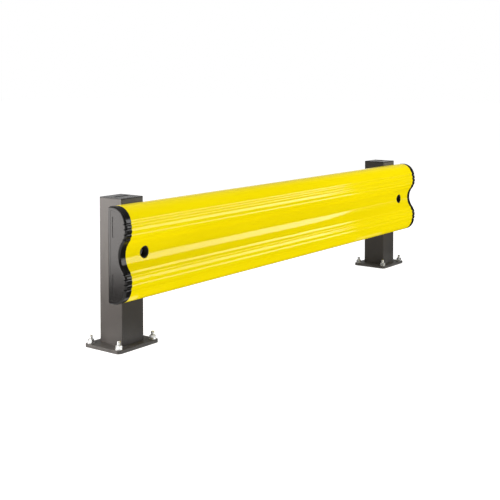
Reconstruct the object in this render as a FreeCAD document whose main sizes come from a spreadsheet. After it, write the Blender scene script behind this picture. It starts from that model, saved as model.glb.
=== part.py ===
import FreeCAD, Part
import math
import os
import Sketcher
from FreeCAD import Placement, Rotation, Vector

# Industrial guard rail: a hollow double-wave beam between two square posts on bolted base plates.
# Frame: X along the rail, the rail's wave faces -Y, +Z up.
# Origin: on the floor, at the centre of the outline seen from above.

NODES = "parts"

# Driving sizes, in millimetres: name, value, meaning
SIZES = [
    ("post_spacing", 1708, "centre to centre of the two posts"),
    ("post_width", 100, "outer width of the square post"),
    ("post_wall", 4, "wall of the post's tube"),
    ("post_corner_radius", 3, "outer corner radius of the tube"),
    ("post_length", 471, "length of the tube above its base plate"),
    ("plate_length", 189, "base plate along the rail"),
    ("plate_depth", 158, "base plate across the rail"),
    ("plate_thickness", 11, "base plate thickness"),
    ("plate_corner_radius", 13, "base plate corner radius"),
    ("plate_edge_round", 1.5, "rounding of the base plate's top edge"),
    ("anchor_spacing_x", 157, "anchor holes along the rail"),
    ("anchor_spacing_y", 126, "anchor holes across the rail"),
    ("anchor_hole", 14, "anchor hole diameter"),
    ("stud_size", 12, "anchor stud diameter at its free end"),
    ("stud_core", 10.9, "anchor stud below, and the nut's bore: the thread's mean diameter"),
    ("stud_free_end", 13, "stud above its nut"),
    ("stud_point", 1.5, "chamfer on the stud's end"),
    ("anchor_nut_flats", 19, "anchor nut across flats"),
    ("anchor_nut_height", 10.8, "anchor nut height"),
    ("anchor_washer_size", 24, "anchor washer outer diameter"),
    ("anchor_washer_thickness", 2.5, "anchor washer thickness"),
    ("nut_crown", 0.9, "depth of a nut's turned corners"),
    ("top_thickness", 4, "post cap plate thickness"),
    ("top_edge_round", 1.2, "rounding of the post cap's top edge"),
    ("top_skirt_length", 18, "post cap skirt inside the tube"),
    ("top_skirt_wall", 2.5, "post cap skirt wall"),
    ("top_slot_length", 64, "shallow slot in the post cap, along the rail"),
    ("top_slot_width", 16, "shallow slot in the post cap, across the rail"),
    ("top_slot_depth", 1.6, "shallow slot depth"),
    ("rail_height", 308.5, "height of the beam's section"),
    ("rail_depth", 80, "back plane to the crests"),
    ("rail_drop", 13, "top of the beam below the top of the tube"),
    ("rail_overhang", 85, "beam beyond each post's centre"),
    ("rail_wall", 7, "wall of the hollow beam"),
    ("rail_edge_radius", 9, "rounding of the beam's two back edges"),
    ("wave_depth", 29, "crest to valley"),
    ("crest_edge", 75.5, "crest from the beam's edge"),
    ("crest_inner_radius", 54, "crest towards the valley"),
    ("crest_outer_radius", 120, "crest away from the valley"),
    ("shoulder_radius", 55, "rounding between crest and flank"),
    ("web_gap", 15, "inner web from the access hole's edge"),
    ("web_thickness", 5, "inner web thickness"),
    ("rib_pitch", 16, "spacing of the long ribs on a crest"),
    ("groove_radius", 8, "round of the groove between two ribs"),
    ("groove_depth", 1.8, "depth of the groove between two ribs"),
    ("access_hole", 41, "hole in the valley for the socket"),
    ("cap_length", 27.5, "end cap beyond the beam"),
    ("cap_face", 5, "end cap face thickness"),
    ("cap_edge_round", 7, "rounding round the end cap's face"),
    ("lip_length", 26, "end cap lip inside the beam"),
    ("lip_wall", 3.2, "end cap lip wall"),
    ("notch_width", 3.6, "notch in the end cap's rim at each groove"),
    ("notch_reach", 9, "notch from the outline inwards"),
    ("notch_length", 8, "notch along the cap, from its face"),
    ("panel_inset", 12.5, "shallow panel in the face, from the outline"),
    ("panel_depth", 0.5, "shallow panel depth"),
    ("flute_width", 9, "upright flute in the end cap's face"),
    ("flute_depth", 1.2, "flute depth below the panel"),
    ("flute_edge", 31.5, "flute's outer end from the end cap's edge"),
    ("flute_length", 65, "flute length"),
    ("flute_setback", 25, "flute's centre from the beam's back plane"),
    ("rail_bolt_size", 16, "rail bolt diameter"),
    ("rail_bolt_hole", 17.5, "rail bolt hole in beam and post"),
    ("rail_bolt_flats", 24, "rail bolt head and nut across flats"),
    ("rail_bolt_head", 10, "rail bolt head height"),
    ("rail_bolt_end", 4, "bolt beyond its nut"),
    ("rail_nut_height", 14.8, "rail nut height"),
    ("rail_washer_size", 30, "rail washer outer diameter"),
    ("rail_washer_thickness", 3, "rail washer thickness"),
    ("cup_wall", 3, "wall of the bolt cup that lines the access hole"),
    ("cup_floor", 11, "floor of the bolt cup under the washer, a spacer for the bolt's head"),
    ("clearance", 0.3, "gap between a skirt or lip and its hollow"),
    ("washer_play", 0.5, "gap between a washer's bore and its bolt"),
]
VALUE = {name: float(value) for name, value, meaning in SIZES}

doc = FreeCAD.newDocument("guard_rail")


def make_sheet():
    """Spreadsheet that drives every sub-part."""
    sheet = doc.addObject("Spreadsheet::Sheet", "Sizes")
    for row, (name, value, meaning) in enumerate(SIZES, start=1):
        sheet.set(f"A{row}", name)
        sheet.set(f"B{row}", str(value))
        sheet.set(f"C{row}", meaning)
        sheet.setAlias(f"B{row}", name)
    doc.recompute()
    return sheet


def cell(formula):
    """Write each size's name in a formula as a reference to the sheet."""
    words = []
    word = ""
    for letter in formula + " ":
        if letter.isalnum() or letter in "_.":
            word += letter
            continue
        words.append("Sizes." + word if word in VALUE else word)
        words.append(letter)
        word = ""
    return "".join(words).strip()


def worth(formula):
    """Value of a formula for the starting geometry."""
    return float(sheet.evalExpression(cell(formula)))


def bind(thing, prop, formula):
    """Bind one property to the sheet."""
    thing.setExpression(prop, cell(formula))


def place(thing, x, y, z, turn=None):
    """Put a sub-part at formulas x, y, z, turned by an axis and an angle."""
    rotation = Rotation(*turn) if turn else Rotation()
    thing.Placement = Placement(Vector(worth(x), worth(y), worth(z)), rotation)
    for axis, formula in zip("xyz", (x, y, z)):
        bind(thing, "Placement.Base." + axis, formula)


def new_body(name):
    body = doc.addObject("PartDesign::Body", name)
    body.Label = name
    return body


def new_sketch(body, name, plane, offset=None):
    """Sketch on one of the body's own origin planes, moved along its normal."""
    sketch = body.newObject("Sketcher::SketchObject", name)
    support = [item for item in body.Origin.OriginFeatures if item.Role == plane][0]
    sketch.AttachmentSupport = [(support, "")]
    sketch.MapMode = "FlatFace"
    if offset:
        bind(sketch, "AttachmentOffset.Base.z", offset)
    return sketch


def dimension(sketch, kind, *where, formula):
    """Driving dimension of a sketch, bound to the sheet."""
    index = sketch.addConstraint(Sketcher.Constraint(kind, *where, worth(formula)))
    bind(sketch, f"Constraints[{index}]", formula)


def pad(body, name, sketch, formula, symmetric=False, reverse=False):
    feature = body.newObject("PartDesign::Pad", name)
    feature.Profile = sketch
    bind(feature, "Length", formula)
    feature.SideType = "Symmetric" if symmetric else "One side"
    feature.Reversed = reverse
    doc.recompute()
    return feature


def pocket(body, name, sketch, formula=None, symmetric=False, reverse=False):
    """Pocket that has to take material away."""
    before = body.Shape.Volume
    feature = body.newObject("PartDesign::Pocket", name)
    feature.Profile = sketch
    if formula:
        bind(feature, "Length", formula)
    else:
        feature.Type = "ThroughAll"
    feature.SideType = "Symmetric" if symmetric else "One side"
    feature.Reversed = reverse
    doc.recompute()
    if body.Shape.Volume > before - 1:
        raise RuntimeError(f"{body.Label}: {name} cuts nothing")
    return feature


def edge_names(feature, wanted):
    """Names of the edges of a feature for which wanted(edge) is true."""
    names = []
    for index, edge in enumerate(feature.Shape.Edges, start=1):
        if wanted(edge):
            names.append(f"Edge{index}")
    if not names:
        raise RuntimeError(f"{feature.Label}: no edge found")
    return names


def round_edges(body, name, base, names, formula):
    feature = body.newObject("PartDesign::Fillet", name)
    feature.Base = (base, names)
    bind(feature, "Radius", formula)
    doc.recompute()
    return feature


def add_loop(sketch, points):
    """Closed loop of lines through the points, joined end to end."""
    first = sketch.GeometryCount
    count = len(points)
    for index in range(count):
        start, end = points[index], points[(index + 1) % count]
        sketch.addGeometry(Part.LineSegment(Vector(*start, 0), Vector(*end, 0)), False)
    for index in range(count):
        after = first + (index + 1) % count
        sketch.addConstraint(Sketcher.Constraint("Coincident", first + index, 2, after, 1))
    return first


def add_rectangle(sketch, left, low, width, height):
    """Rectangle whose lower left corner lies at formulas left, low from the sketch's origin."""
    x, y, w, h = worth(left), worth(low), worth(width), worth(height)
    first = add_loop(sketch, [(x, y), (x + w, y), (x + w, y + h), (x, y + h)])
    for line in (first, first + 2):
        sketch.addConstraint(Sketcher.Constraint("Horizontal", line))
    for line in (first + 1, first + 3):
        sketch.addConstraint(Sketcher.Constraint("Vertical", line))
    dimension(sketch, "DistanceX", first, 1, first, 2, formula=width)
    dimension(sketch, "DistanceY", first + 1, 1, first + 1, 2, formula=height)
    dimension(sketch, "DistanceX", -1, 1, first, 1, formula=left)
    dimension(sketch, "DistanceY", -1, 1, first, 1, formula=low)
    return first


def add_circle(sketch, x, y, diameter):
    """Circle centred at formulas x, y from the sketch's origin."""
    centre = Vector(worth(x), worth(y), 0)
    index = sketch.addGeometry(Part.Circle(centre, Vector(0, 0, 1), worth(diameter) / 2), False)
    dimension(sketch, "Diameter", index, formula=diameter)
    dimension(sketch, "DistanceX", -1, 1, index, 3, formula=x)
    dimension(sketch, "DistanceY", -1, 1, index, 3, formula=y)
    return index


def add_rounded_square(sketch, width, depth, radius):
    """Rectangle with round corners, centred on the sketch's origin."""
    w, d, r = worth(width) / 2, worth(depth) / 2, worth(radius)
    corners = [(w - r, d - r, 0), (r - w, d - r, 90), (r - w, r - d, 180), (w - r, r - d, 270)]
    arcs = []
    for x, y, start in corners:
        circle = Part.Circle(Vector(x, y, 0), Vector(0, 0, 1), r)
        arc = Part.ArcOfCircle(circle, math.radians(start), math.radians(start + 90))
        arcs.append(sketch.addGeometry(arc, False))
    ends = [
        ((w - r, d), (r - w, d)),
        ((-w, d - r), (-w, r - d)),
        ((r - w, -d), (w - r, -d)),
        ((w, r - d), (w, d - r)),
    ]
    lines = []
    for start, end in ends:
        line = Part.LineSegment(Vector(*start, 0), Vector(*end, 0))
        lines.append(sketch.addGeometry(line, False))
    for index in range(4):
        after = arcs[(index + 1) % 4]
        sketch.addConstraint(Sketcher.Constraint("Tangent", arcs[index], 2, lines[index], 1))
        sketch.addConstraint(Sketcher.Constraint("Tangent", lines[index], 2, after, 1))
    for index in range(3):
        sketch.addConstraint(Sketcher.Constraint("Equal", arcs[index], arcs[index + 1]))
    sketch.addConstraint(Sketcher.Constraint("Horizontal", lines[0]))
    sketch.addConstraint(Sketcher.Constraint("Vertical", lines[1]))
    dimension(sketch, "Radius", arcs[0], formula=radius)
    dimension(sketch, "DistanceX", lines[1], 1, lines[3], 1, formula=width)
    dimension(sketch, "DistanceY", lines[2], 1, lines[0], 1, formula=depth)
    dimension(sketch, "DistanceX", lines[1], 1, -1, 1, formula=f"({width}) / 2")
    dimension(sketch, "DistanceY", lines[2], 1, -1, 1, formula=f"({depth}) / 2")


# The beam's section

CREST = "(rail_height / 2 - crest_edge)"
VALLEY_RADIUS = f"(({CREST} ^ 2 + wave_depth ^ 2) / (2 * wave_depth) - crest_inner_radius)"
VALLEY_CENTRE = f"(rail_depth - wave_depth + {VALLEY_RADIUS})"
POST_LINE = "((rail_depth - plate_depth / 2 + post_width / 2) / 2)"
RAIL_BACK = f"({POST_LINE} - post_width / 2)"
RAIL_MIDDLE = "(plate_thickness + post_length - rail_drop - rail_height / 2)"
WEB_HEIGHT = "(access_hole / 2 + web_gap + web_thickness / 2)"


def arc_between(centre, start, end):
    """Arc counter-clockwise round centre from start to end."""
    radius = math.dist(centre, start)
    circle = Part.Circle(Vector(*centre, 0), Vector(0, 0, 1), radius)
    angles = [math.atan2(p[1] - centre[1], p[0] - centre[0]) for p in (start, end)]
    return Part.ArcOfCircle(circle, *angles)


def between(first, second, distance):
    """Point at a distance from first on the way to second."""
    share = distance / math.dist(first, second)
    return tuple(a + (b - a) * share for a, b in zip(first, second))


def wave_outline(sketch, inset="0"):
    """Double wave with a flat back, drawn inside the outer surface by the inset.

    The sketch's first axis points from the wave to the back, its second axis up.
    """
    t = worth(inset)
    half = worth("rail_height / 2") - t
    crest = worth(CREST)
    inner_r = worth("crest_inner_radius") - t
    outer_r = worth("crest_outer_radius") - t
    shoulder_r = worth("shoulder_radius") - t
    valley_r = worth(VALLEY_RADIUS) + t
    tip = t - worth("rail_depth")
    inner_c = (tip + inner_r, crest)
    outer_c = (tip + outer_r, crest)
    rise = half - shoulder_r
    reach = math.sqrt((outer_r - shoulder_r) ** 2 - (rise - crest) ** 2)
    shoulder_c = (outer_c[0] - reach, rise)
    valley_c = (-worth(VALLEY_CENTRE), 0.0)
    meet_valley = between(valley_c, inner_c, valley_r)
    meet_shoulder = between(outer_c, shoulder_c, outer_r)

    def down(point):
        return (point[0], -point[1])

    top = (shoulder_c[0], half)
    arcs = [
        arc_between(shoulder_c, top, meet_shoulder),
        arc_between(outer_c, meet_shoulder, (tip, crest)),
        arc_between(inner_c, (tip, crest), meet_valley),
        arc_between(valley_c, down(meet_valley), meet_valley),
        arc_between(down(inner_c), down(meet_valley), (tip, -crest)),
        arc_between(down(outer_c), (tip, -crest), down(meet_shoulder)),
        arc_between(down(shoulder_c), down(meet_shoulder), down(top)),
    ]
    first = sketch.GeometryCount
    for arc in arcs:
        sketch.addGeometry(arc, False)
    a, b, c, v, d, e, f = range(first, first + 7)
    corners = [(-t, half), top, down(top), (-t, -half)]
    upper, lower, back = first + 7, first + 8, first + 9
    sketch.addGeometry(Part.LineSegment(Vector(*corners[0], 0), Vector(*corners[1], 0)), False)
    sketch.addGeometry(Part.LineSegment(Vector(*corners[2], 0), Vector(*corners[3], 0)), False)
    sketch.addGeometry(Part.LineSegment(Vector(*corners[3], 0), Vector(*corners[0], 0)), False)

    joints = [(upper, 2, a, 1), (a, 2, b, 1), (b, 2, c, 1), (c, 2, v, 2)]
    joints += [(v, 1, d, 1), (d, 2, e, 1), (e, 2, f, 1), (f, 2, lower, 1)]
    for joint in joints:
        sketch.addConstraint(Sketcher.Constraint("Tangent", *joint))
    sketch.addConstraint(Sketcher.Constraint("Coincident", lower, 2, back, 1))
    sketch.addConstraint(Sketcher.Constraint("Coincident", back, 2, upper, 1))
    sketch.addConstraint(Sketcher.Constraint("Horizontal", upper))
    sketch.addConstraint(Sketcher.Constraint("Horizontal", lower))
    sketch.addConstraint(Sketcher.Constraint("Symmetric", back, 1, back, 2, -1))
    dimension(sketch, "DistanceY", back, 1, back, 2, formula=f"rail_height - 2 * ({inset})")
    if t > 0:
        dimension(sketch, "DistanceX", back, 1, -1, 1, formula=inset)
    else:
        sketch.addConstraint(Sketcher.Constraint("PointOnObject", back, 1, -2))
    dimension(sketch, "Radius", v, formula=f"{VALLEY_RADIUS} + {inset}")
    dimension(sketch, "DistanceX", v, 3, -1, 1, formula=VALLEY_CENTRE)
    sketch.addConstraint(Sketcher.Constraint("PointOnObject", v, 3, -1))
    for inner, outer, shoulder, side in ((c, b, a, 1), (d, e, f, -1)):
        ends = (-1, 1, inner, 3) if side > 0 else (inner, 3, -1, 1)
        dimension(sketch, "DistanceY", *ends, formula=CREST)
        dimension(sketch, "Radius", inner, formula=f"crest_inner_radius - ({inset})")
        dimension(sketch, "Radius", outer, formula=f"crest_outer_radius - ({inset})")
        dimension(sketch, "Radius", shoulder, formula=f"shoulder_radius - ({inset})")
        sketch.addConstraint(Sketcher.Constraint("Horizontal", inner, 3, outer, 3))


def cut_grooves(body, symmetric, reverse=False):
    """Long round grooves, which leave the ribs standing on both crests."""
    sketch = new_sketch(body, body.Label + "_grooves", "YZ_Plane")
    stand_off = "(groove_radius - groove_depth)"
    for step in (-1.5, -0.5, 0.5, 1.5):
        radius = "crest_inner_radius" if step < 0 else "crest_outer_radius"
        out = f"sqrt(({radius} + {stand_off}) ^ 2 - ({step} * rib_pitch) ^ 2)"
        x = f"{radius} - rail_depth - {out}"
        for side in ("1", "-1"):
            add_circle(sketch, x, f"{side} * ({CREST} + {step} * rib_pitch)", "2 * groove_radius")
    return pocket(body, body.Label + "_groove_cut", sketch, symmetric=symmetric, reverse=reverse)


def cut_webs(body, formula=None, grow="0"):
    """Two bands cut out of a body, where the inner webs stand."""
    sketch = new_sketch(body, body.Label + "_webs", "YZ_Plane")
    height = f"(web_thickness + 2 * {grow})"
    for side in ("1", "-1"):
        low = f"{side} * {WEB_HEIGHT} - {height} / 2"
        add_rectangle(sketch, "-rail_depth", low, "rail_depth", height)
    return pocket(body, body.Label + "_web_cut", sketch, formula, symmetric=not formula)


def make_beam():
    """Hollow beam: the outline less a core, which is the hollow with the webs' bands left out."""
    body = new_body("rail_outside")
    length = "(post_spacing + 2 * rail_overhang)"
    outer = new_sketch(body, "rail_outline", "YZ_Plane")
    wave_outline(outer)
    solid = pad(body, "rail_pad", outer, length, symmetric=True)

    def back_edge(edge):
        box = edge.BoundBox
        return box.XLength > 10 and abs(box.YMin) < 0.01 and abs(box.YMax) < 0.01

    round_edges(body, "rail_back_edges", solid, edge_names(solid, back_edge), "rail_edge_radius")
    cut_grooves(body, symmetric=True)
    for name, size, formula in (
        ("access_holes", "access_hole", "rail_depth"),
        ("bolt_holes", "rail_bolt_hole", None),
    ):
        sketch = new_sketch(body, name, "XZ_Plane", "rail_wall + 1" if formula else None)
        for side in ("1", "-1"):
            add_circle(sketch, f"{side} * post_spacing / 2", "0", size)
        pocket(body, name + "_cut", sketch, formula, symmetric=not formula, reverse=bool(formula))
    core = new_body("rail_core")
    hollow = new_sketch(core, "rail_hollow", "YZ_Plane")
    wave_outline(hollow, "rail_wall")
    pad(core, "rail_core_pad", hollow, f"{length} + 2", symmetric=True)
    cut_webs(core)
    beam = doc.addObject("Part::Cut", "rail_beam")
    beam.Label = "rail_beam"
    beam.Base = body
    beam.Tool = core
    doc.recompute()
    place(beam, "0", RAIL_BACK, RAIL_MIDDLE)
    return beam


def cut_notches(body):
    """Narrow notches in the end cap's rim, one at the end of each groove."""
    sketch = new_sketch(body, body.Label + "_notches", "YZ_Plane", "cap_length")
    for step in (-1.5, -0.5, 0.5, 1.5):
        radius = "crest_inner_radius" if step < 0 else "crest_outer_radius"
        reach = f"notch_reach + {radius} - sqrt({radius} ^ 2 - ({step} * rib_pitch) ^ 2)"
        for side in ("1", "-1"):
            low = f"{side} * ({CREST} + {step} * rib_pitch) - notch_width / 2"
            add_rectangle(sketch, "-rail_depth", low, reach, "notch_width")
    return pocket(body, body.Label + "_notch_cut", sketch, "notch_length")


def make_end_cap(name, side):
    """End cap with the beam's own ribbed outline, a fluted face and a lip that enters the beam."""
    body = new_body(name)
    outer = new_sketch(body, name + "_outline", "YZ_Plane")
    wave_outline(outer)
    block = pad(body, name + "_pad", outer, "cap_length")

    def back_edge(edge):
        box = edge.BoundBox
        return box.XLength > 10 and abs(box.YMin) < 0.01 and abs(box.YMax) < 0.01

    rounded = round_edges(body, name + "_back_edges", block, edge_names(block, back_edge), "rail_edge_radius")
    face_x = worth("cap_length")

    def face_edge(edge):
        box = edge.BoundBox
        return abs(box.XMin - face_x) < 0.01 and abs(box.XMax - face_x) < 0.01

    round_edges(body, name + "_face_edges", rounded, edge_names(rounded, face_edge), "cap_edge_round")
    cut_grooves(body, symmetric=False, reverse=True)
    lip = new_sketch(body, name + "_lip", "YZ_Plane")
    wave_outline(lip, "rail_wall + clearance")
    pad(body, name + "_lip_pad", lip, "lip_length", reverse=True)
    inside = new_sketch(body, name + "_inside", "YZ_Plane", "cap_length - cap_face")
    wave_outline(inside, "rail_wall + clearance + lip_wall")
    pocket(body, name + "_inside_cut", inside, "cap_length - cap_face + lip_length")
    cut_webs(body, "lip_length", "clearance")
    cut_notches(body)
    panel = new_sketch(body, name + "_panel", "YZ_Plane", "cap_length")
    wave_outline(panel, "panel_inset")
    pocket(body, name + "_panel_cut", panel, "panel_depth")
    flutes = new_sketch(body, name + "_flutes", "YZ_Plane", "cap_length - panel_depth")
    for low in ("rail_height / 2 - flute_edge - flute_length", "flute_edge - rail_height / 2"):
        add_rectangle(flutes, "-flute_setback - flute_width / 2", low, "flute_width", "flute_length")
    pocket(body, name + "_flute_cut", flutes, "flute_depth")
    turn = None if side > 0 else (Vector(0, 1, 0), 180)
    place(body, f"{side} * (post_spacing / 2 + rail_overhang)", RAIL_BACK, RAIL_MIDDLE, turn)
    return body


# Posts, base plates and post caps

def make_post(name, side):
    body = new_body(name)
    sketch = new_sketch(body, name + "_section", "XY_Plane")
    add_rounded_square(sketch, "post_width", "post_width", "post_corner_radius")
    add_rounded_square(
        sketch,
        "post_width - 2 * post_wall",
        "post_width - 2 * post_wall",
        "max(post_corner_radius - post_wall; post_wall / 4)",
    )
    pad(body, name + "_pad", sketch, "post_length")
    hole = new_sketch(body, name + "_bolt_hole", "XZ_Plane")
    add_circle(hole, "0", f"{RAIL_MIDDLE} - plate_thickness", "rail_bolt_hole")
    pocket(body, name + "_bolt_hole_cut", hole, "post_width", reverse=True)
    place(body, f"{side} * post_spacing / 2", POST_LINE, "plate_thickness")
    return body


def make_plate(name, side):
    body = new_body(name)
    sketch = new_sketch(body, name + "_outline", "XY_Plane")
    add_rounded_square(sketch, "plate_length", "plate_depth", "plate_corner_radius")
    solid = pad(body, name + "_pad", sketch, "plate_thickness")
    top = worth("plate_thickness")

    def top_edge(edge):
        return abs(edge.BoundBox.ZMin - top) < 0.01

    round_edges(body, name + "_top_edge", solid, edge_names(solid, top_edge), "plate_edge_round")
    hole = new_sketch(body, name + "_anchor_hole", "XY_Plane")
    for x in ("-1", "1"):
        for y in ("-1", "1"):
            add_circle(hole, f"{x} * anchor_spacing_x / 2", f"{y} * anchor_spacing_y / 2", "anchor_hole")
    pocket(body, name + "_anchor_hole_cut", hole, reverse=True)
    place(body, f"{side} * post_spacing / 2", POST_LINE, "0")
    return body


def make_post_cap(name, side):
    """Flat cap whose skirt enters the tube, with a shallow round-ended slot on top."""
    body = new_body(name)
    sketch = new_sketch(body, name + "_outline", "XY_Plane")
    add_rounded_square(sketch, "post_width", "post_width", "post_corner_radius")
    solid = pad(body, name + "_pad", sketch, "top_thickness")
    top = worth("top_thickness")

    def top_edge(edge):
        return abs(edge.BoundBox.ZMin - top) < 0.01

    round_edges(body, name + "_top_edge", solid, edge_names(solid, top_edge), "top_edge_round")
    skirt = new_sketch(body, name + "_skirt", "XY_Plane")
    width = "(post_width - 2 * post_wall - 2 * clearance)"
    add_rounded_square(skirt, width, width, "max(post_corner_radius - post_wall; 2)")
    inner = f"({width} - 2 * top_skirt_wall)"
    add_rounded_square(skirt, inner, inner, "1")
    pad(body, name + "_skirt_pad", skirt, "top_skirt_length", reverse=True)
    slot = new_sketch(body, name + "_slot", "XY_Plane", "top_thickness")
    add_rounded_square(slot, "top_slot_length", "top_slot_width", "top_slot_width / 2 - 0.01")
    pocket(body, name + "_slot_cut", slot, "top_slot_depth")
    place(body, f"{side} * post_spacing / 2", POST_LINE, "plate_thickness + post_length")
    return body


# Fasteners, each turned from one half section round its own axis

def add_hexagon(sketch, flats):
    """Hexagon round the origin, two of its sides parallel to the first axis."""
    corner = worth(f"({flats}) / sqrt(3)")
    points = []
    for index in range(6):
        angle = math.radians(60 * index)
        points.append((corner * math.cos(angle), corner * math.sin(angle)))
    first = add_loop(sketch, points)
    centre = Vector(0, 0, 0)
    guide = sketch.addGeometry(Part.Circle(centre, Vector(0, 0, 1), corner), True)
    sketch.addConstraint(Sketcher.Constraint("Coincident", guide, 3, -1, 1))
    for index in range(6):
        sketch.addConstraint(Sketcher.Constraint("PointOnObject", first + index, 1, guide))
    for index in range(5):
        sketch.addConstraint(Sketcher.Constraint("Equal", first + index, first + index + 1))
    sketch.addConstraint(Sketcher.Constraint("Horizontal", first + 1))
    dimension(sketch, "Radius", guide, formula=f"({flats}) / sqrt(3)")


def turn_corners(body, name, flats, height, crown, both):
    """Turn the corners of a hexagon off, as on a nut or a bolt head."""
    sketch = new_sketch(body, name, "XZ_Plane")
    bite = worth(f"({flats}) / sqrt(3) - ({flats}) / 2")
    rim = worth(f"({flats}) / 2")
    depth, top = worth(crown), worth(height)
    ends = [(top, -1)] + ([(0.0, 1)] if both else [])
    for level, way in ends:
        inner = (rim, level)
        outer = (rim + 3 * bite, level)
        low = (rim + 3 * bite, level + way * 3 * depth)
        first = add_loop(sketch, [inner, outer, low] if way < 0 else [inner, low, outer])
        flat, down = (first, first + 1) if way < 0 else (first + 2, first + 1)
        sketch.addConstraint(Sketcher.Constraint("Horizontal", flat))
        sketch.addConstraint(Sketcher.Constraint("Vertical", down))
        dimension(sketch, "DistanceX", -1, 1, first, 1, formula=f"({flats}) / 2")
        if way < 0:
            dimension(sketch, "DistanceY", -1, 1, first, 1, formula=height)
            dimension(sketch, "DistanceX", first, 1, first, 2, formula=f"3 * (({flats}) / sqrt(3) - ({flats}) / 2)")
            dimension(sketch, "DistanceY", down, 2, down, 1, formula=f"3 * {crown}")
        else:
            sketch.addConstraint(Sketcher.Constraint("PointOnObject", first, 1, -1))
            dimension(sketch, "DistanceX", flat, 2, flat, 1, formula=f"3 * (({flats}) / sqrt(3) - ({flats}) / 2)")
            dimension(sketch, "DistanceY", down, 2, down, 1, formula=f"3 * {crown}")
    doc.recompute()
    before = body.Shape.Volume
    feature = body.newObject("PartDesign::Groove", name + "_groove")
    feature.Profile = sketch
    feature.ReferenceAxis = (sketch, ["V_Axis"])
    feature.Angle = 360
    doc.recompute()
    if body.Shape.Volume > before - 0.1:
        raise RuntimeError(f"{body.Label}: {name} cuts nothing")


def make_nut(name, flats, height, bore):
    body = new_body(name)
    sketch = new_sketch(body, name + "_section", "XY_Plane")
    add_hexagon(sketch, flats)
    add_circle(sketch, "0", "0", bore)
    pad(body, name + "_pad", sketch, height)
    turn_corners(body, name + "_crown", flats, height, "nut_crown", both=True)
    return body


def make_washer(name, size, bore, thickness):
    body = new_body(name)
    sketch = new_sketch(body, name + "_section", "XY_Plane")
    add_circle(sketch, "0", "0", size)
    add_circle(sketch, "0", "0", bore)
    pad(body, name + "_pad", sketch, thickness)
    return body


def make_stud(name, length):
    """Plain stud: its thread's mean diameter up to the nut's top, then a full, chamfered free end."""
    body = new_body(name)
    sketch = new_sketch(body, name + "_section", "XY_Plane")
    add_circle(sketch, "0", "0", "stud_core")
    pad(body, name + "_pad", sketch, f"{length} - stud_free_end")
    free = new_sketch(body, name + "_free_end", "XY_Plane", f"{length} - stud_free_end")
    add_circle(free, "0", "0", "stud_size")
    solid = pad(body, name + "_free_end_pad", free, "stud_free_end")
    top = worth(length)
    names = edge_names(solid, lambda edge: edge.BoundBox.ZMin > top - 0.01)
    chamfer = body.newObject("PartDesign::Chamfer", name + "_point")
    chamfer.Base = (solid, names)
    bind(chamfer, "Size", "stud_point")
    doc.recompute()
    return body


STUD_LENGTH = "(plate_thickness + anchor_washer_thickness + anchor_nut_height + stud_free_end)"
BOLT_SEAT = "(rail_wall + cup_floor + rail_washer_thickness)"
BOLT_GRIP = f"({BOLT_SEAT} + post_wall + rail_nut_height + rail_bolt_end)"


def make_anchors(post, side):
    """Four studs through the base plate, each with its washer and nut."""
    made = []
    for column, x in (("outer", side), ("inner", -side)):
        for row, y in (("front", -1), ("back", 1)):
            spot = f"{post}_{row}_{column}"
            where = (
                f"{side} * post_spacing / 2 + {x} * anchor_spacing_x / 2",
                f"{POST_LINE} + {y} * anchor_spacing_y / 2",
            )
            stud = make_stud("anchor_stud_" + spot, STUD_LENGTH)
            place(stud, *where, "0")
            washer = make_washer(
                "anchor_washer_" + spot, "anchor_washer_size", "stud_size + 2 * washer_play", "anchor_washer_thickness"
            )
            place(washer, *where, "plate_thickness")
            nut = make_nut("anchor_nut_" + spot, "anchor_nut_flats", "anchor_nut_height", "stud_core")
            place(nut, *where, "plate_thickness + anchor_washer_thickness")
            made += [stud, washer, nut]
    return made


def make_rail_bolt(name):
    """Hexagon bolt: its head's underside is at z = 0 and the shank points down."""
    body = new_body(name)
    shank = new_sketch(body, name + "_shank", "XY_Plane")
    add_circle(shank, "0", "0", "rail_bolt_size")
    pad(body, name + "_shank_pad", shank, BOLT_GRIP, reverse=True)
    head = new_sketch(body, name + "_head", "XY_Plane")
    add_hexagon(head, "rail_bolt_flats")
    pad(body, name + "_head_pad", head, "rail_bolt_head")
    turn_corners(body, name + "_crown", "rail_bolt_flats", "rail_bolt_head", "nut_crown", both=False)
    return body


def make_cup(name):
    """Round cup that lines the access hole and stands on the beam's back wall under the bolt."""
    body = new_body(name)
    sketch = new_sketch(body, name + "_section", "XY_Plane")
    add_circle(sketch, "0", "0", "access_hole - 2 * clearance")
    pad(body, name + "_pad", sketch, "rail_depth - wave_depth - rail_wall")
    inside = new_sketch(body, name + "_inside", "XY_Plane", "cup_floor")
    add_circle(inside, "0", "0", "access_hole - 2 * clearance - 2 * cup_wall")
    pocket(body, name + "_inside_cut", inside, "rail_depth", reverse=True)
    hole = new_sketch(body, name + "_bolt_hole", "XY_Plane")
    add_circle(hole, "0", "0", "rail_bolt_hole")
    pocket(body, name + "_bolt_hole_cut", hole, "cup_floor", reverse=True)
    return body


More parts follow.
